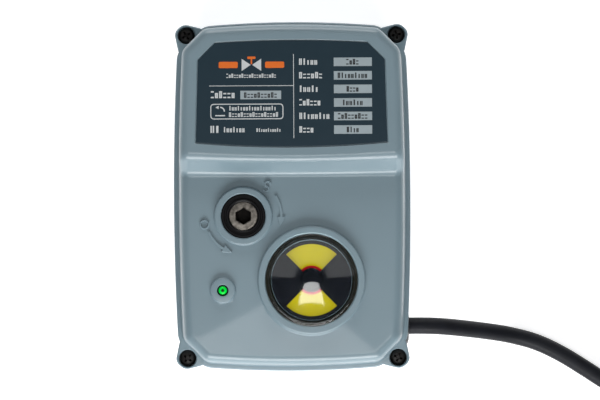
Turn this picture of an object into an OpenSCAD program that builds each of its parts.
// Compact quarter-turn electric valve actuator with an attached control cable.
// The origin is the centre of the valve mounting face, on the output drive's axis.
// +Z runs up from the valve to the indicator window, +X towards the cable gland.

/* [Housing] */
// Width of the housing over its bulged sides
body_w = 100; // [98:0.5:102]
// Length of the housing over its bulged ends
body_l = 147.4; // [146:0.2:149]
// Height of the lower housing
base_h = 48; // [47:0.5:49]
// Height of the low plateau, where the window and the override are
plateau_z = 82; // [81.5:0.1:82.5]
// Rise from the low plateau to the nameplate plateau
step_rise = 8.8; // [8:0.1:9.5]
// Wall thickness of the castings
wall = 3.4; // [3:0.1:3.8]

/* [Drive] */
// Side of the output drive's square socket
square_af = 14; // [9:1:14]
// Width across the flats of the override's hexagon socket
hex_af = 6; // [5:0.5:6]
// Clockwise turn of the output from open towards shut, in degrees
turn = 0; // [0:1:90]

/* [Cable] */
// Diameter of the control cable
cable_d = 7.2; // [6:0.1:7.4]

/* [Hidden] */
$fn = 72;
eps = 0.01;
paint = "#7c8b93";

// Plan outline of the castings, about the housing's own middle
mid = [-7.9, 35.1];
half_w = body_w / 2;
half_l = body_l / 2;
side_r = 1190;
end_r = 430;
corner_r = 9;
corner_h = 77.5;
sin45 = sqrt(0.5);

// Split line and cover
seal_t = 0.8;
cover_z = base_h + seal_t;
flange_h = 6.2;
flange_z = cover_z + flange_h;
rim = 2.2;
dome_draft = 1.5;
edge_r = 4;
crown_z = plateau_z + step_rise;
step_low_y = 7.3;
step_high_y = 17.9;

// Corner lugs and their screws
screw_x = 44.45;
screw_y = 68.2;
lug_margin = 4.5;
head_r = 3.45;
head_pocket_r = 3.7;
lug_tail_z = 8;
screw_hole_depth = 12;

// Train: output gear, idler (pinion below, wheel above), manual pinion, motor pinion
out_teeth = 42;
idler_low_teeth = 14;
idler_high_teeth = 40;
manual_teeth = 17;
motor_teeth = 14;
low_module = 1.25;
high_module = 1;
idler_dir = 91.3;
manual_dir = 197.35;
motor_dir = 81;
idler_at = (out_teeth + idler_low_teeth) / 2 * low_module * [cos(idler_dir), sin(idler_dir)];
manual_at = idler_at + (idler_high_teeth + manual_teeth) / 2 * high_module * [cos(manual_dir), sin(manual_dir)];
motor_at = idler_at + (idler_high_teeth + motor_teeth) / 2 * high_module * [cos(motor_dir), sin(motor_dir)];
gear_z = 14;
gear_t = 12;
wheel_z = 49;
wheel_t = 6;
plate_z = 44;
plate_t = 3;

// Valve interface
pad_r = 30;
pad_z = 12;
f03_pcd = 36;
f03_r = 2.5;
f05_pcd = 50;
f05_r = 3;
tap_depth = 9;
drive_r = 12;
socket_z = 16;

// Features of the low plateau
window_boss_r = 22.3;
window_boss_h = 2.6;
window_bore_r = 19.2;
window_hole_r = 16.2;
window_ledge_z = plateau_z + 0.4;
override_boss_r = 12;
override_boss_h = 2.4;
override_bore_r = 9.2;
stem_r = 5.95;
stem_top_z = plateau_z + 1.2;
led_at = [-36.6, -4.1];
led_boss_r = 5.3;
led_boss_h = 1.6;
mark_r = 15.7;
mark_h = 0.35;

// Cable gland and cable
gland_y = -20.7;
gland_z = 24.5;
gland_wall_x = 37.2;
gland_end_x = 42.1;
cable_r = cable_d / 2;
coil_at = [184, -25];
coil_r = 39.6;
coil_w = 14.8;
coil_h = 15.4;
cable_route = [
    [42.1, -20.7, 24.5], [48, -20.7, 24.4], [54, -20.9, 23.6], [60, -21.4, 21.6], [66, -22.1, 18.2],
    [72, -22.9, 14.2], [78, -23.8, 10.4], [84, -24.8, 7.2], [90, -26.1, 5], [97, -28, 3.9],
    [104, -30.8, 3.6], [112, -35, 3.6], [120, -40, 3.6], [128, -45.2, 3.6], [136, -50.2, 3.8],
    [144, -54.8, 4.1], [152, -59, 4.3], [160, -62.6, 4.4], [169.2, -65.8, 4.4]
];
tail_route = [
    [227.4, -25, 11.6], [227.4, -15, 11.5], [227.4, -5, 10.8], [227.4, 5, 8.4], [227, 14, 5.4],
    [226.5, 22, 3.9], [226, 30, 3.6], [225, 38, 3.6]
];
core_r = 0.95;
core_ends = [[213, 70], [221, 75], [229, 76], [236, 71]];

// ---------- outlines ----------

// Normal angle where a long arc of radius r, reaching half across, hands over to the corner arc
function hand_over(half, r) = 45 - acos((corner_h - corner_r - (half - r) * sin45) / (r - corner_r));

side_a = hand_over(half_w, side_r);
end_a = hand_over(half_l, end_r);

// Outline point for a normal angle in the first quadrant, moved inward by d
function side_point(a, d) = [half_w - side_r + (side_r - d) * cos(a), (side_r - d) * sin(a)];
function end_point(a, d) = [(end_r - d) * cos(a), half_l - end_r + (end_r - d) * sin(a)];
function side_corner(a, d) =
    [half_w - side_r, 0] + (side_r - corner_r) * [cos(side_a), sin(side_a)] + (corner_r - d) * [cos(a), sin(a)];
function end_corner(a, d) =
    [0, half_l - end_r] + (end_r - corner_r) * [sin(end_a), cos(end_a)] + (corner_r - d) * [cos(a), sin(a)];

// One quarter, from the end's middle to just before the side's middle; n sets the fineness
function quarter(d, n, side_n) = concat(
    [for (i = [0 : n - 1]) end_point(90 - end_a * i / n, d)],
    [for (i = [0 : n]) end_corner(90 - end_a - (45 - end_a) * i / n, d)],
    [for (i = [0 : n]) side_corner(45 - (45 - side_a) * i / n, d)],
    [for (i = [1 : side_n - 1]) side_point(side_a * (1 - i / side_n), d)]
);
function flip_y(list) = [for (i = [len(list) - 1 : -1 : 0]) [list[i][0], -list[i][1]]];
function flip_x(list) = [for (i = [len(list) - 2 : -1 : 1]) [-list[i][0], list[i][1]]];

// Right half from top to bottom, and the closed outline
function half_outline(d, n, side_n) =
    let (q = quarter(d, n, side_n)) concat(q, [side_point(0, d)], flip_y(q));
function outline(d, n = 5, side_n = 4) =
    let (h = half_outline(d, n, side_n)) concat(h, flip_x(h));

// Lug shapes, for the first quadrant
lug_points = [
    [half_w - 2.5, half_l - 14], [half_w - 0.4, half_l - 4.1], [half_w - 4.3, half_l - 0.6],
    [36.6, half_l - 2.9], [30, 60], [38, 52]
];

module corners() {
    for (sx = [-1, 1], sy = [-1, 1])
        translate([mid[0], mid[1], 0]) mirror([sx < 0 ? 1 : 0, 0, 0]) mirror([0, sy < 0 ? 1 : 0, 0]) children();
}

module plan(d, z, h, n = 5, side_n = 4) {
    translate([mid[0], mid[1], z]) linear_extrude(h) polygon(outline(d, n, side_n));
}

// ---------- shared shapes ----------

module tube(r_out, r_in, h) {
    difference() {
        cylinder(r = r_out, h = h);
        translate([0, 0, -1]) cylinder(r = r_in, h = h + 2);
    }
}

module at(p, z = 0) {
    translate([p[0], p[1], z]) children();
}

// Closed ring walls through lists of points of equal length, with both ends capped
module loft(rings) {
    n = len(rings[0]);
    polyhedron(
        points = [for (r = rings, p = r) p],
        faces = concat(
            [[for (i = [0 : n - 1]) i]],
            [for (j = [0 : len(rings) - 2], i = [0 : n - 1])
                [j * n + i, (j + 1) * n + i, (j + 1) * n + (i + 1) % n, j * n + (i + 1) % n]],
            [[for (i = [n - 1 : -1 : 0]) (len(rings) - 1) * n + i]]
        )
    );
}

// Involute gear profile; teeth are thinned for backlash and shortened to clear the mating root
function involute(rb, r) = let (t = sqrt(max(0, r * r / (rb * rb) - 1))) t * 180 / PI - atan(t);
function tooth(m, z) =
    let (
        rp = m * z / 2, rb = rp * cos(20), ra = rp + 0.8 * m, rf = rp - 1.1 * m,
        half = 90 / z - 0.07 * 180 / PI / rp + involute(rb, rp),
        r0 = max(rb, rf),
        radii = [r0, (r0 * 2 + ra) / 3, (r0 + ra * 2) / 3, ra]
    ) concat([[rf, half]], [for (r = radii) [r, half - involute(rb, r)]]);
function gear_points(m, z) = let (side = tooth(m, z), n = len(side)) [
    for (k = [0 : z - 1]) let (a = 360 * k / z)
        each concat(
            [for (i = [0 : n - 1]) let (p = side[i]) p[0] * [cos(a - p[1]), sin(a - p[1])]],
            [for (i = [n - 1 : -1 : 0]) let (p = side[i]) p[0] * [cos(a + p[1]), sin(a + p[1])]]
        )
];
module gear(m, z, h, bore) {
    difference() {
        linear_extrude(h) polygon(gear_points(m, z));
        translate([0, 0, -1]) cylinder(r = bore, h = h + 2);
    }
}

// Screw standing head up, with its head's underside at z = 0
module cross_screw(shank_r, length, head_r, head_h) {
    slot_w = head_r * 0.3;
    difference() {
        union() {
            rotate_extrude() polygon([
                [0, 0], [head_r, 0], [head_r, head_h * 0.55], [head_r * 0.82, head_h * 0.88],
                [head_r * 0.5, head_h], [0, head_h]
            ]);
            translate([0, 0, -length]) cylinder(r = shank_r, h = length + eps);
        }
        for (a = [0, 90]) rotate(a)
            translate([-head_r * 0.58, -slot_w / 2, head_h * 0.35]) cube([head_r * 1.16, slot_w, head_h]);
    }
}

// ---------- castings ----------

base_inset = 0.6;
foot_h = 1.3;

module base_outer() {
    plan(base_inset + 1.8, 0, foot_h + 1);
    plan(base_inset + 0.8, foot_h, 2);
    plan(base_inset, 2 * foot_h, base_h - 2 * foot_h);
}

// Lugs under the cover's lugs, running out down the corners
module base_lugs() {
    corners() difference() {
        translate([0, 0, lug_tail_z]) linear_extrude(base_h - lug_tail_z) polygon(lug_points);
        translate([36, 56, lug_tail_z]) rotate([0, -58, 55]) translate([-30, -30, -40]) cube([90, 60, 40]);
    }
}

plate_posts = [[24, -28], [-44, -25], [-47, 61], [31, 62]];
board_posts = [[-44, 93], [28, 93]];
earth_depth = 1.9;
earth_at = [mid[0], mid[1] - half_l + base_inset + earth_depth, 34];
// Hollows under the housing: x, y, width and length of each
foot_pockets = [[-49, 56, 20, 36], [-23, 82, 30, 18], [13, 56, 20, 36], [-51, -2, 13, 26]];

module pocket(p) {
    r = 2;
    translate([p[0], p[1], -1]) linear_extrude(2.4) polygon([
        for (c = [[p[2] - r, p[3] - r, 0], [r, p[3] - r, 90], [r, r, 180], [p[2] - r, r, 270]], a = [0 : 30 : 90])
            [c[0] + r * cos(a + c[2]), c[1] + r * sin(a + c[2])]
    ]);
}

// Thicker wall behind the gland, kept inside the plan's slanted corner
module gland_block() {
    intersection() {
        translate([gland_wall_x - 5, gland_y - 14, 2]) cube([6, 28, plate_z - 2.5]);
        plan(base_inset + 0.5, 1, base_h);
    }
}

module base_housing() {
    color(paint) difference() {
        union() {
            difference() {
                union() {
                    base_outer();
                    base_lugs();
                }
                plan(wall + base_inset, 4, base_h);
            }
            at([0, 0], 1) cylinder(r = pad_r, h = pad_z - 1);
            for (p = [manual_at, idler_at]) at(p, 1) cylinder(r = 8.5, h = 10);
            for (p = plate_posts) at(p, 3) cylinder(r = 4, h = plate_z - 3);
            for (p = board_posts) at(p, 3) cylinder(r = 4, h = 37);
            gland_block();
            translate(earth_at) rotate([-90, 0, 0]) cylinder(r = 5, h = 6);
        }
        // Output bore and its bush seat
        translate([0, 0, -1]) cylinder(r = drive_r + 1.5, h = pad_z + 2);
        // Valve bolt holes, both sizes on the diagonals
        for (a = [45 : 90 : 315]) rotate(a) {
            translate([f03_pcd / 2, 0, -1]) cylinder(r = f03_r, h = tap_depth + 1);
            translate([f05_pcd / 2, 0, -1]) cylinder(r = f05_r, h = tap_depth + 1);
        }
        // Groove that marks the machined face
        translate([0, 0, -1]) tube(33.4, 32.4, 1.6);
        // Blind seats of the manual and idler shafts
        for (p = [manual_at, idler_at]) at(p, 4) cylinder(r = 6, h = 12);
        // Screw holes
        corners() at([screw_x, screw_y], base_h - screw_hole_depth) cylinder(r = 1.7, h = 20);
        for (p = plate_posts) at(p, plate_z - 12) cylinder(r = 1.25, h = 14);
        for (p = board_posts) at(p, 28) cylinder(r = 1.25, h = 14);
        // Pocket for the gland, and the gland's hole
        along_x(gland_wall_x) cylinder(r = 13, h = 20);
        along_x(gland_wall_x - 10) cylinder(r = 6.05, h = 20);
        // Earth screw's hole and its sunk seat
        translate([earth_at[0], earth_at[1] - 3, earth_at[2]]) rotate([-90, 0, 0]) {
            cylinder(r = 1.7, h = 14);
            cylinder(r = 4.4, h = 3);
        }
        for (p = foot_pockets) pocket(p);
    }
}

module housing_seal() {
    color("#1c1d1f") translate([mid[0], mid[1], base_h]) linear_extrude(seal_t) difference() {
        polygon(outline(1.4));
        polygon(outline(3.2));
    }
}

// Section across the dome: drafted walls and rounded shoulders up to a flat top
module across(top) {
    half = half_w - rim;
    translate([mid[0], mid[1] + body_l / 2, 0]) rotate([90, 0, 0]) linear_extrude(body_l) polygon(concat(
        [[-half, cover_z], [half, cover_z], [half, flange_z + 2]],
        [for (a = [0 : 22.5 : 90]) [half - dome_draft - edge_r * (1 - cos(a)), top - edge_r * (1 - sin(a))]],
        [for (a = [90 : 22.5 : 180]) [dome_draft + edge_r * (1 + cos(a)) - half, top - edge_r * (1 - sin(a))]],
        [[-half, flange_z + 2]]
    ));
}

// Section along the dome: rounded ends, and the step between the two plateaus as two arcs
module along() {
    half = half_l - rim;
    step_n = 8;
    run = step_high_y - step_low_y;
    translate([mid[0] - half_w, mid[1], 0]) rotate([90, 0, 90]) linear_extrude(body_w) polygon(concat(
        [[half, cover_z], [half, flange_z + 2]],
        [for (a = [0 : 22.5 : 90]) [half - dome_draft - edge_r * (1 - cos(a)), crown_z - edge_r * (1 - sin(a))]],
        [for (i = [0 : 2 * step_n]) let (u = 1 - i / (2 * step_n))
            [step_low_y + run * u, plateau_z + step_rise * (1 - cos(180 * u)) / 2]],
        [for (a = [90 : 22.5 : 180]) [dome_draft + edge_r * (1 + cos(a)) - half, plateau_z - edge_r * (1 - sin(a))]],
        [[-half, flange_z + 2], [-half, cover_z]]
    ));
}

module dome() {
    intersection() {
        plan(rim, cover_z + 1, crown_z);
        along();
        union() {
            across(plateau_z);
            intersection() {
                across(crown_z);
                translate([mid[0] - half_w, mid[1] + step_low_y, 0]) cube([body_w, half_l, crown_z + 5]);
            }
        }
    }
}

// Round boss on the low plateau, with a rounded rim and a coved foot
module boss(r, h, foot = 1.2, lip = 0.7) {
    translate([0, 0, plateau_z]) rotate_extrude() polygon(concat(
        [[0, -1.5], [r + foot, -1.5], [r + foot, 0]],
        [for (a = [15 : 15 : 90]) [r + foot - foot * sin(a), foot - foot * cos(a)]],
        [for (a = [0 : 15 : 90]) [r - lip + lip * cos(a), h - lip + lip * sin(a)]],
        [[0, h]]
    ));
}

// Raised arrow along an arc about the override, from angle a0 to the head's point at a1
module arc_arrow(a0, a1) {
    dir = a1 > a0 ? 1 : -1;
    neck = a1 - dir * 15;
    half = 0.5;
    head = 1.7;
    linear_extrude(mark_h + 1) polygon(concat(
        [for (i = [0 : 8]) let (a = a0 + (neck - a0) * i / 8) (mark_r + half) * [cos(a), sin(a)]],
        [(mark_r + head) * [cos(neck), sin(neck)], mark_r * [cos(a1), sin(a1)],
         (mark_r - head) * [cos(neck), sin(neck)]],
        [for (i = [8 : -1 : 0]) let (a = a0 + (neck - a0) * i / 8) (mark_r - half) * [cos(a), sin(a)]]
    ));
}

module letter_s() {
    r = 1.05;
    w = 0.28;
    linear_extrude(mark_h + 1) polygon(concat(
        [for (a = [20 : 25 : 270]) [(r + w) * cos(a), r + (r + w) * sin(a)]],
        [for (a = [90 : -25 : -160]) [(r - w) * cos(a), -r + (r - w) * sin(a)]],
        [for (a = [-160 : 25 : 90]) [(r + w) * cos(a), -r + (r + w) * sin(a)]],
        [for (a = [270 : -25 : 20]) [(r - w) * cos(a), r + (r - w) * sin(a)]]
    ));
}

module override_marks() {
    at(manual_at, plateau_z - 1) {
        arc_arrow(40, -12);
        arc_arrow(200, 253);
        at(16.3 * [cos(52), sin(52)]) rotate(-20) letter_s();
        at(16.3 * [cos(190), sin(190)]) tube(2, 1.45, mark_h + 1);
    }
}

// Nameplate outline, about the housing's middle, grown by g
plate_half_top = 38.2;
plate_half_low = 39.2;
function plate_outline(g) = let (a = 6.9) concat(
    [for (i = [-6 : 6]) let (x = -i / 6 * (plate_half_top - a)) [x, 63.1 + g - 1.0 * x * x / 961]],
    [[-plate_half_top - g, 62.1 - a + g * 0.4], [-plate_half_low - g, 21.5 - g]],
    [for (i = [-6 : 6]) let (x = i / 6 * (plate_half_low - 1)) [x, 19.7 - g + 1.8 * x * x / 1521]],
    [[plate_half_low + g, 21.5 - g], [plate_half_top + g, 62.1 - a + g * 0.4]]
);
nameplate_t = 0.6;
nameplate_z = crown_z - 0.5;

module cover() {
    color(paint) difference() {
        union() {
            plan(0, cover_z, flange_h);
            corners() translate([0, 0, cover_z]) linear_extrude(flange_h) polygon(lug_points);
            dome();
            boss(window_boss_r, window_boss_h);
            at(manual_at) boss(override_boss_r, override_boss_h);
            at(led_at) boss(led_boss_r, led_boss_h, 0.8, 0.6);
            override_marks();
        }
        // Hollow under both plateaus
        plan(rim + dome_draft + 2.2, cover_z - 1, plateau_z - 3 - cover_z + 1);
        intersection() {
            plan(rim + dome_draft + 2.2, cover_z - 1, crown_z - 3 - cover_z + 1);
            translate([mid[0] - half_w, mid[1] + step_high_y + 0.5, cover_z]) cube([body_w, half_l, 60]);
        }
        // Lug screws: clearance and head pocket
        corners() at([screw_x, screw_y], cover_z - 1) {
            cylinder(r = 2.2, h = flange_h + 2);
            translate([0, 0, 3.2]) cylinder(r = head_pocket_r, h = flange_h);
        }
        // Window, override and lamp
        translate([0, 0, plateau_z - 5]) cylinder(r = window_hole_r, h = 12);
        translate([0, 0, window_ledge_z]) cylinder(r = window_bore_r, h = 8);
        at(manual_at, plateau_z - 5) cylinder(r = override_bore_r, h = 12);
        at(led_at, plateau_z - 5) cylinder(r = 2.35, h = 12);
        // Nameplate's seat
        translate([mid[0], mid[1], nameplate_z]) linear_extrude(3) polygon(plate_outline(0.25));
    }
}

module nameplate() {
    color("#2b3a44") translate([mid[0], mid[1], nameplate_z]) linear_extrude(nameplate_t) polygon(plate_outline(0));
}

module cover_screws() {
    color("#151515") corners() at([screw_x, screw_y], cover_z + 2.2)
        cross_screw(1.65, 14, head_r, 2.9);
}

// ---------- window and indicator ----------

lens_r = window_bore_r - 0.15;
lens_z = window_ledge_z + 0.6;
lens_top_r = 17.6;
lens_edge_z = plateau_z + 4.4;
lens_peak_z = plateau_z + 7.2;
lens_t = 1.8;

module window_seal() {
    color("#1c1d1f") translate([0, 0, window_ledge_z]) tube(lens_r, 17, lens_z - window_ledge_z);
}

module window_lens() {
    color([0.85, 0.9, 0.92, 0.35]) rotate_extrude() polygon([
        [lens_r, lens_z], [lens_r, lens_edge_z - 1.2], [lens_r - 0.4, lens_edge_z - 0.4], [lens_top_r, lens_edge_z],
        [2.5, lens_peak_z - 0.15], [0, lens_peak_z],
        [0, lens_peak_z - lens_t], [lens_top_r - 1.2, lens_edge_z - lens_t], [lens_top_r - 0.6, lens_edge_z - lens_t - 0.8],
        [lens_top_r - 0.6, lens_z]
    ]);
}

mask_z = plateau_z + 1.4;
mask_t = 1;
mask_r = lens_top_r - 1.3;
skirt_r = 16.8;
sector_in = 4.9;
sector_out = 14.7;
module wedge(r, half, h) {
    linear_extrude(h) polygon(concat([[0, 0]], [for (i = [-6 : 6]) r * [cos(half * i / 6), sin(half * i / 6)]]));
}

module window_mask() {
    color("#16181c") difference() {
        union() {
            translate([0, 0, mask_z]) cylinder(r = mask_r, h = mask_t);
            translate([0, 0, mask_z + mask_t - eps]) cylinder(r1 = sector_in, r2 = sector_in - 1.2, h = 1.2);
            translate([0, 0, window_ledge_z]) tube(skirt_r, dial_r + 0.5, mask_z - window_ledge_z + eps);
        }
        for (a = [90, 270]) rotate(a) difference() {
            translate([0, 0, mask_z - 1]) wedge(sector_out / cos(7.5), 44.5, mask_t + 2);
            translate([0, 0, mask_z - 2]) cylinder(r = sector_in, h = mask_t + 4);
            translate([0, 0, mask_z - 2]) tube(30, sector_out, mask_t + 4);
        }
    }
}

// Dial: open shows through the mask at rest, shut after a quarter turn clockwise
dial_z = plateau_z - 1;
dial_r = 15.4;
post_r = 3;
module dial_sectors(first) {
    translate([0, 0, dial_z + 1]) for (a = [first, first + 180]) rotate(a) difference() {
        intersection() {
            wedge(20, 45, 0.4);
            cylinder(r = dial_r, h = 1);
        }
        translate([0, 0, -1]) cylinder(r = post_r + 0.1, h = 3);
    }
}
module indicator_dial() { color("#2a2c2f") translate([0, 0, dial_z]) tube(dial_r, post_r + 0.02, 1); }
module open_sectors() { color("#e6d41c") dial_sectors(90); }
module shut_sectors() { color("#b01c1c") dial_sectors(0); }
module indicator_hub() { color("#c41f1f") translate([0, 0, dial_z + 1.4]) tube(5.9, post_r + 0.02, 0.6); }
module indicator_post() {
    color("#2a2c2f") {
        translate([0, 0, 74]) tube(7.5, 4.02, 2);
        translate([0, 0, 76 - eps]) cylinder(r = 7.5, h = 1);
        translate([0, 0, 76]) cylinder(r = post_r, h = dial_z + 2.2 - 76);
        translate([0, 0, dial_z - 1.2]) cylinder(r = 8, h = 1.2);
    }
}

// ---------- manual override ----------

module override_seal() {
    color("#131315") at(manual_at) {
        translate([0, 0, plateau_z - 3]) rotate_extrude() polygon([
            [stem_r + 0.05, 0], [override_bore_r, 0], [override_bore_r, 4.2], [override_bore_r - 0.5, 4.7],
            [8.1, 4.7], [7.7, 4.1], [7.3, 4.1], [6.9, 4.5], [stem_r + 0.45, 4.5], [stem_r + 0.05, 4.1]
        ]);
        translate([0, 0, plateau_z - 5]) tube(override_bore_r + 1.6, stem_r + 0.4, 2);
    }
}

module override_stem() {
    color("#b9b4aa") at(manual_at) difference() {
        union() {
            translate([0, 0, 5]) cylinder(r = 4.5, h = 8.5);
            translate([0, 0, 13.5 - eps]) cylinder(r = 5, h = 42);
            translate([0, 0, 55.2]) cylinder(r = stem_r, h = stem_top_z - 0.5 - 55.2);
            translate([0, 0, stem_top_z - 0.5 - eps]) cylinder(r1 = stem_r, r2 = stem_r - 0.5, h = 0.5 + eps);
        }
        translate([0, 0, stem_top_z - 9]) cylinder(d = hex_af / cos(30), h = 12, $fn = 6);
        translate([0, 0, stem_top_z - 0.45]) cylinder(r1 = hex_af / 2 + 0.1, r2 = hex_af / 2 + 0.75, h = 0.5);
    }
}

// Gear phases, so that teeth meet gaps at rest
function meshed(dir, mate_phase, mate_teeth, teeth) =
    dir + 180 + 180 / teeth + (dir - mate_phase) * mate_teeth / teeth;

module manual_pinion() {
    color("#8a8d90") at(manual_at, wheel_z) rotate(meshed(manual_dir, manual_dir, idler_high_teeth, manual_teeth))
        gear(high_module, manual_teeth, wheel_t, 5);
}

module idler_pinion() {
    color("#8a8d90") at(idler_at) {
        translate([0, 0, 5]) cylinder(r = 4.5, h = 8.5);
        translate([0, 0, 13.5 - eps]) cylinder(r = 5, h = 43.5);
        translate([0, 0, gear_z]) rotate(meshed(idler_dir, idler_dir, out_teeth, idler_low_teeth))
            linear_extrude(gear_t) polygon(gear_points(low_module, idler_low_teeth));
    }
}

module idler_wheel() {
    color("#c9b679") at(idler_at, wheel_z) rotate(manual_dir) difference() {
        gear(high_module, idler_high_teeth, wheel_t, 5.02);
        for (a = [30 : 60 : 330]) rotate(a) translate([13, 0, -1]) cylinder(r = 3.2, h = wheel_t + 2);
    }
}

module circlip(r, wall, h, gap) {
    difference() {
        tube(r + wall, r, h);
        translate([r - 1, -gap / 2, -1]) cube([wall + 3, gap, h + 2]);
    }
}

module idler_circlip() {
    color("#5c5f63") at(idler_at, wheel_z + wheel_t + 0.1) circlip(5.02, 2, 1, 3);
}

module floor_bushes() {
    color("#b8863b") for (p = [manual_at, idler_at]) at(p, 4) tube(6, 4.55, 7);
}

module plate_bushes() {
    color("#b8863b") for (p = [manual_at, idler_at]) at(p, plate_z) tube(7.5, 5.05, plate_t);
}

// ---------- output drive ----------

module output_shaft() {
    color("#9da1a5") difference() {
        union() {
            translate([0, 0, 0.5]) cylinder(r = drive_r, h = pad_z + 1.5);
            translate([0, 0, gear_z - eps]) cylinder(r = 11, h = gear_t + 4);
            translate([0, 0, gear_z + gear_t + 4 - 2 * eps]) cylinder(r = 8, h = 22);
            translate([0, 0, 51.5]) cylinder(r = 6, h = 22.5);
            translate([0, 0, 73.9]) cylinder(r = 4, h = 2.1);
        }
        translate([-square_af / 2, -square_af / 2, 0]) cube([square_af, square_af, socket_z + 0.5]);
        // Keyway for the gear
        translate([9.2, -2, gear_z - 0.2]) cube([4, 4, gear_t + 4.4]);
    }
}

module output_gear() {
    color("#8a8d90") difference() {
        translate([0, 0, gear_z]) rotate(idler_dir) gear(low_module, out_teeth, gear_t, 11.02);
        translate([9, -2, gear_z - 1]) cube([4.2, 4, gear_t + 2]);
        // Lightening holes
        for (a = [0 : 60 : 300]) rotate(a + 30) translate([18.5, 0, gear_z - 1]) cylinder(r = 3.6, h = gear_t + 2);
    }
}

module drive_key() {
    color("#77797c") translate([9.25, -1.95, gear_z]) cube([3.9, 3.9, gear_t]);
}

module output_circlip() {
    color("#5c5f63") translate([0, 0, gear_z + gear_t + 0.1]) rotate(200) circlip(11.02, 2.4, 1.2, 4);
}

module output_bush_lower() {
    color("#b8863b") translate([0, 0, 1]) tube(drive_r + 1.5, drive_r + 0.05, pad_z - 1);
}

module output_bush_upper() {
    color("#b8863b") translate([0, 0, plate_z]) tube(10.5, 8.05, plate_t);
}

module cam(z, lobe_dir) {
    translate([0, 0, z]) difference() {
        union() {
            cylinder(r = 9.5, h = 5.4);
            rotate(lobe_dir) wedge(12, 22, 5.4);
        }
        translate([0, 0, -1]) cylinder(r = 6.02, h = 8);
        rotate(lobe_dir + 180) translate([5, 0, 2.7]) rotate([0, 90, 0]) cylinder(r = 1.2, h = 8);
    }
}
cam_low_z = 57;
cam_high_z = 65.5;
module cam_open() { color("#d8d9d6") cam(cam_low_z, -90); }
module cam_shut() { color("#30343a") cam(cam_high_z, 0); }
// ---------- plate, motor and switches ----------

module gear_plate() {
    color("#a8adb1") difference() {
        translate([0, 0, plate_z]) linear_extrude(plate_t) polygon([
            [-44, -31], [28, -31], [36, -22], [36, 66], [20, 76], [-12, 76], [-52, 66], [-52, -22]
        ]);
        translate([0, 0, plate_z - 1]) cylinder(r = 10.5, h = 6);
        for (p = [manual_at, idler_at]) at(p, plate_z - 1) cylinder(r = 7.5, h = 6);
        at(motor_at, plate_z - 1) cylinder(r = 7.9, h = 6);
        for (p = plate_posts) at(p, plate_z - 1) cylinder(r = 1.7, h = 6);
        for (a = [45 : 90 : 315]) at(motor_at + 12 * [cos(a), sin(a)], plate_z - 1) cylinder(r = 1.7, h = 6);
        for (p = bracket_holes) at(p, plate_z - 1) cylinder(r = 1.25, h = 6);
        for (p = plate_standoffs) at(p, plate_z - 1) cylinder(r = 1.25, h = 6);
    }
}

module plate_screws() {
    color("#c3c6c8") for (p = plate_posts) at(p, plate_z + plate_t) cross_screw(1.2, 11, 2.75, 2.2);
}

module motor_gearhead() {
    color("#b5b8ba") at(motor_at) difference() {
        union() {
            translate([0, 0, 27]) cylinder(r = 16, h = plate_z - 27);
            translate([0, 0, plate_z - eps]) tube(7.8, 3.1, plate_t);
        }
        translate([0, 0, 35]) cylinder(r = 3.1, h = 10);
        for (a = [45 : 90 : 315]) rotate(a) translate([12, 0, plate_z - 6]) cylinder(r = 1.2, h = 8);
    }
}

module motor_can() {
    color("#8f9396") at(motor_at) {
        translate([0, 0, 7]) cylinder(r = 15.2, h = 20);
        translate([0, 0, 5]) cylinder(r = 5, h = 2);
    }
}

module motor_screws() {
    color("#3c3d3f") for (a = [45 : 90 : 315]) at(motor_at + 12 * [cos(a), sin(a)], plate_z + plate_t)
        cross_screw(1.19, 6, 2.3, 1.3);
}

module motor_pinion() {
    color("#c9b679") at(motor_at) {
        translate([0, 0, 36]) cylinder(r = 3, h = wheel_z - 36);
        translate([0, 0, wheel_z - 0.5]) rotate(meshed(motor_dir, manual_dir, idler_high_teeth, motor_teeth))
            linear_extrude(wheel_t + 1) polygon(gear_points(high_module, motor_teeth));
    }
}

bracket_holes = [[24, -17], [24, 17]];
module switch_bracket() {
    color("#b9bdc0") difference() {
        union() {
            translate([16, -21, plate_z + plate_t]) cube([14, 42, 1.5]);
            translate([28.5, -21, plate_z + plate_t]) cube([1.5, 42, 27]);
        }
        for (p = bracket_holes) at(p, plate_z) cylinder(r = 1.6, h = 8);
        for (z = switch_zs, y = [-4.75, 4.75]) translate([20, y, z + 3.2]) rotate([0, 90, 0]) cylinder(r = 1.15, h = 20);
    }
}

switch_zs = [56.4, 65];
switch_x = 18.5;
module switch_bodies() {
    color("#24272b") for (z = switch_zs) difference() {
        translate([switch_x, -10, z]) cube([10, 20, 6.4]);
        for (y = [-4.75, 4.75]) translate([switch_x - 1, y, z + 3.2]) rotate([0, 90, 0]) cylinder(r = 1.15, h = 20);
        translate([switch_x - 1, 7.4, z + 1.3]) cube([3.1, 2.2, 3.8]);
    }
}

module switch_screws() {
    color("#c3c6c8") for (z = switch_zs, y = [-4.75, 4.75])
        translate([30, y, z + 3.2]) rotate([0, 90, 0]) cross_screw(1.1, 9, 1.9, 1.2);
    color("#c3c6c8") for (p = bracket_holes) at(p, plate_z + plate_t + 1.5) cross_screw(1.2, 4.4, 2.75, 2.2);
}

// Spring lever of a limit switch, hinged in the notch of the switch body
module lever(z) {
    translate([0, 0, z + 1.5]) {
        translate([switch_x - 3.2, -9, 0]) cube([0.4, 18.2, 3.4]);
        translate([switch_x - 3.2, 8.1, 0]) cube([4.2, 0.8, 3.4]);
        translate([switch_x - 3.4, -8.2, 1.7]) rotate([90, 0, 0]) translate([0, 0, -1.2]) cylinder(r = 1.5, h = 2.4);
    }
}
module switch_levers() { color("#c3c6c8") for (z = switch_zs) lever(z); }

// ---------- circuit board ----------

board_z = 63;
board_t = 1.6;
plate_standoffs = [[-38, 57], [22, 57]];
standoff_spots = concat([for (p = plate_standoffs) [p, plate_z + plate_t]], [for (p = board_posts) [p, 40]]);

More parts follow.
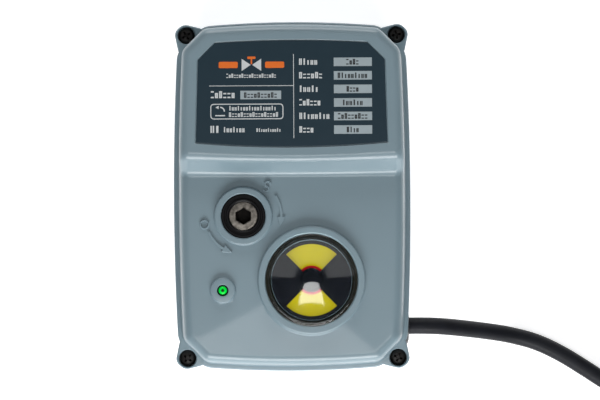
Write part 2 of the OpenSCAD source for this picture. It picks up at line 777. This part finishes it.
module circuit_board() {
    color("#1d6b3f") difference() {
        translate([0, 0, board_z]) linear_extrude(board_t) polygon([
            [-50, 53], [34, 53], [34, 88], [22, 100], [-38, 100], [-50, 88]
        ]);
        for (s = standoff_spots) at(s[0], board_z - 1) cylinder(r = 1.6, h = 4);
    }
}
module board_standoffs() {
    color("#c9a24a") for (s = standoff_spots) at(s[0], s[1]) difference() {
        cylinder(d = 6 / cos(30), h = board_z - s[1], $fn = 6);
        translate([0, 0, -1]) cylinder(r = 1.25, h = board_z);
    }
}
module board_screws() {
    color("#c3c6c8") for (s = standoff_spots) at(s[0], board_z + board_t) cross_screw(1.2, 6, 2.75, 2.2);
}
module terminal_block() {
    color("#2f8f4e") for (i = [0 : 5]) translate([-21 + 5.08 * i, 88, board_z + board_t]) difference() {
        cube([5, 9, 10]);
        translate([2.5, 3, 6]) cylinder(r = 1.7, h = 6);
        translate([0.9, 5, 2]) cube([3.2, 5, 3.4]);
    }
}
module board_relays() {
    color("#2456a6") for (x = [6, 20]) translate([x, 60, board_z + board_t]) cube([10.5, 15.5, 14]);
}
module board_capacitors() {
    color("#22252b") for (c = [[-40, 80, 6.3], [-26, 78, 5], [-14, 76, 4]])
        translate([c[0], c[1], board_z + board_t]) difference() {
            cylinder(r = c[2], h = 17);
            translate([0, 0, 17 - 0.3]) tube(c[2] + 1, c[2] - 0.8, 1);
        }
}
module board_chips() {
    color("#17181a") for (c = [[-34, 60, 10, 10], [-18, 60, 8, 5], [-18, 67, 5, 4], [24, 80, 6, 5]])
        translate([c[0], c[1], board_z + board_t]) cube([c[2], c[3], 1.4]);
}
module heater_resistor() {
    color("#e9e4d8") translate([-8, 80, plate_z - 20]) cube([25, 9.5, 9.5]);
    color("#b9bdc0") for (x = [-13.9, 16.9]) translate([x, 84.75, plate_z - 15.25]) rotate([0, 90, 0])
        cylinder(r = 0.5, h = 6);
}

// ---------- lamp ----------

module led_holder() {
    color("#101214") at(led_at) {
        translate([0, 0, plateau_z - 4]) tube(2.35, 1.75, 5.3);
        translate([0, 0, plateau_z - 4.2]) tube(3.6, 1.75, 1.2);
    }
}
module led_lamp() {
    color("#1fe06a") at(led_at) {
        translate([0, 0, plateau_z - 5]) cylinder(r = 1.7, h = 5);
        intersection() {
            translate([0, 0, plateau_z - eps]) scale(1) sphere(r = 1.7);
            translate([0, 0, plateau_z - eps]) cylinder(r = 3, h = 3);
        }
        translate([0, 0, plateau_z - 6.2]) cylinder(r = 2.4, h = 1.2);
        for (s = [-1, 1]) translate([s * 1.27 - 0.25, -0.25, plateau_z - 16]) cube([0.5, 0.5, 10]);
    }
}

// ---------- gland and cable ----------

module along_x(x) {
    translate([x, gland_y, gland_z]) rotate([0, 90, 0]) children();
}
module gland_body() {
    color("#17181a") difference() {
        union() {
            along_x(gland_wall_x) cylinder(d = 17 / cos(30), h = 2, $fn = 6);
            along_x(gland_wall_x - 9) cylinder(r = 6, h = 9.5);
        }
        along_x(gland_wall_x - 10) cylinder(r = 4.2, h = 20);
    }
}
module gland_locknut() {
    color("#17181a") difference() {
        along_x(gland_wall_x - 5 - 3.2) cylinder(d = 17 / cos(30), h = 3, $fn = 6);
        along_x(gland_wall_x - 10) cylinder(r = 6, h = 20);
    }
}
module gland_bush() {
    color("#26282b") along_x(gland_wall_x - 6) tube(4.2, cable_r, gland_end_x - gland_wall_x + 5.9);
}
module gland_nut() {
    length = gland_end_x - gland_wall_x - 2;
    color("#17181a") difference() {
        intersection() {
            along_x(gland_wall_x + 2) cylinder(d = 15.4 / cos(30), h = length, $fn = 6);
            along_x(gland_wall_x + 2) rotate_extrude() polygon([
                [0, 0], [8.6, 0], [8.6, length - 1.4], [7.2, length - 0.4], [6.2, length], [0, length]
            ]);
        }
        along_x(gland_wall_x) cylinder(r = 4.2, h = 20);
    }
}
module earth_screw() {
    color("#b8a06a") translate(earth_at) rotate([90, 0, 0])
        cross_screw(1.65, 5, 3.4, 2.2);
}

// Cable: a round tube swept along the route
function unit(v) = v / norm(v);
function tangent(path, i) = unit(path[min(i + 1, len(path) - 1)] - path[max(i - 1, 0)]);
function curve_point(p, i, t) =
    let (a = p[max(i - 1, 0)], b = p[i], c = p[i + 1], d = p[min(i + 2, len(p) - 1)])
    0.5 * (2 * b + (c - a) * t + (2 * a - 5 * b + 4 * c - d) * t * t + (3 * b - a - 3 * c + d) * t * t * t);
function smooth_path(p, n) = concat(
    [for (i = [0 : len(p) - 2], k = [0 : n - 1]) curve_point(p, i, k / n)], [p[len(p) - 1]]
);
module sweep(path, r, sides = 10) {
    rings = [for (i = [0 : len(path) - 1])
        let (t = tangent(path, i), s = unit(cross([0, 0, 1], t)), u = cross(t, s))
        [for (k = [0 : sides - 1]) path[i] + r * (cos(360 * k / sides) * s + sin(360 * k / sides) * u)]];
    loft(rings);
}

module power_cable() {
    color("#1a1b1d") sweep(smooth_path(cable_route, 2), cable_r);
}
module cable_tail() {
    color("#1a1b1d") sweep(smooth_path(tail_route, 2), cable_r);
}
module cable_coil() {
    r = 3;
    dx = coil_w / 2 - r;
    color("#1a1b1d") translate([coil_at[0], coil_at[1], 0]) rotate_extrude() translate([coil_r, 0]) polygon([
        for (c = [[dx, coil_h - r, 0], [-dx, coil_h - r, 90], [-dx, r, 180], [dx, r, 270]], a = [0 : 22.5 : 90])
            [c[0] + r * cos(a + c[2]), c[1] + r * sin(a + c[2])]
    ]);
}

// Each core leaves the jacket's end and lies down towards its own end point
function core_path(i) =
    let (from = tail_route[len(tail_route) - 1], to = core_ends[i], off = (i - 1.5) * 1.6)
    [for (t = [0 : 0.2 : 1]) [
        from[0] + off * (1 - t) * 0.9 + (to[0] - from[0]) * t * t,
        from[1] - 0.5 + (to[1] - from[1] + 0.5) * t,
        core_r + (from[2] - core_r) * (1 - t) * (1 - t)
    ]];
module cable_cores() {
    color("#7a4a2a") for (i = [0 : 3]) sweep(core_path(i), core_r, 8);
}
module core_ferrules() {
    color("#c3c6c8") for (i = [0 : 3]) let (p = core_path(i), d = p[5] - p[4])
        translate([p[5][0], p[5][1], core_r]) rotate(atan2(d[1], d[0])) rotate([0, 90, 0]) cylinder(r = 0.9, h = 6);
}
module coil_ties() {
    color("#202124") for (a = [90, 200]) translate([coil_at[0], coil_at[1], 0]) rotate(a) translate([coil_r, 0, 0])
        difference() {
            translate([-coil_w / 2 - 0.8, -2.2, 0]) cube([coil_w + 1.6, 4.4, coil_h + 0.8]);
            translate([-coil_w / 2, -3, 0.8]) cube([coil_w, 6, coil_h - 0.8]);
        }
}

// ---------- assembly ----------

// Turn of each shaft for one degree of the output
idler_ratio = -out_teeth / idler_low_teeth;
manual_ratio = -idler_ratio * idler_high_teeth / manual_teeth;
motor_ratio = -idler_ratio * idler_high_teeth / motor_teeth;
module spin(p, a) {
    at(p) rotate(a) at(-p) children();
}
module output_turn() { spin([0, 0], -turn) children(); }
module idler_turn() { spin(idler_at, -turn * idler_ratio) children(); }
module override_turn() { spin(manual_at, -turn * manual_ratio) children(); }
module motor_turn() { spin(motor_at, -turn * motor_ratio) children(); }

base_housing();
housing_seal();
cover();
nameplate();
cover_screws();
window_seal();
window_lens();
window_mask();
override_seal();
led_holder();
led_lamp();
output_bush_lower();
output_bush_upper();
floor_bushes();
plate_bushes();
gear_plate();
plate_screws();
motor_gearhead();
motor_can();
motor_screws();
circuit_board();
board_standoffs();
board_screws();
terminal_block();
board_relays();
board_capacitors();
board_chips();
heater_resistor();
switch_bracket();
switch_bodies();
switch_levers();
switch_screws();
gland_body();
gland_locknut();
gland_bush();
gland_nut();
earth_screw();
power_cable();
cable_coil();
cable_tail();
cable_cores();
core_ferrules();
coil_ties();
output_turn() output_shaft();
output_turn() output_gear();
output_turn() output_circlip();
output_turn() drive_key();
output_turn() cam_open();
output_turn() cam_shut();
output_turn() indicator_post();
output_turn() indicator_dial();
output_turn() open_sectors();
output_turn() shut_sectors();
output_turn() indicator_hub();
override_turn() override_stem();
override_turn() manual_pinion();
idler_turn() idler_pinion();
idler_turn() idler_wheel();
idler_turn() idler_circlip();
motor_turn() motor_pinion();
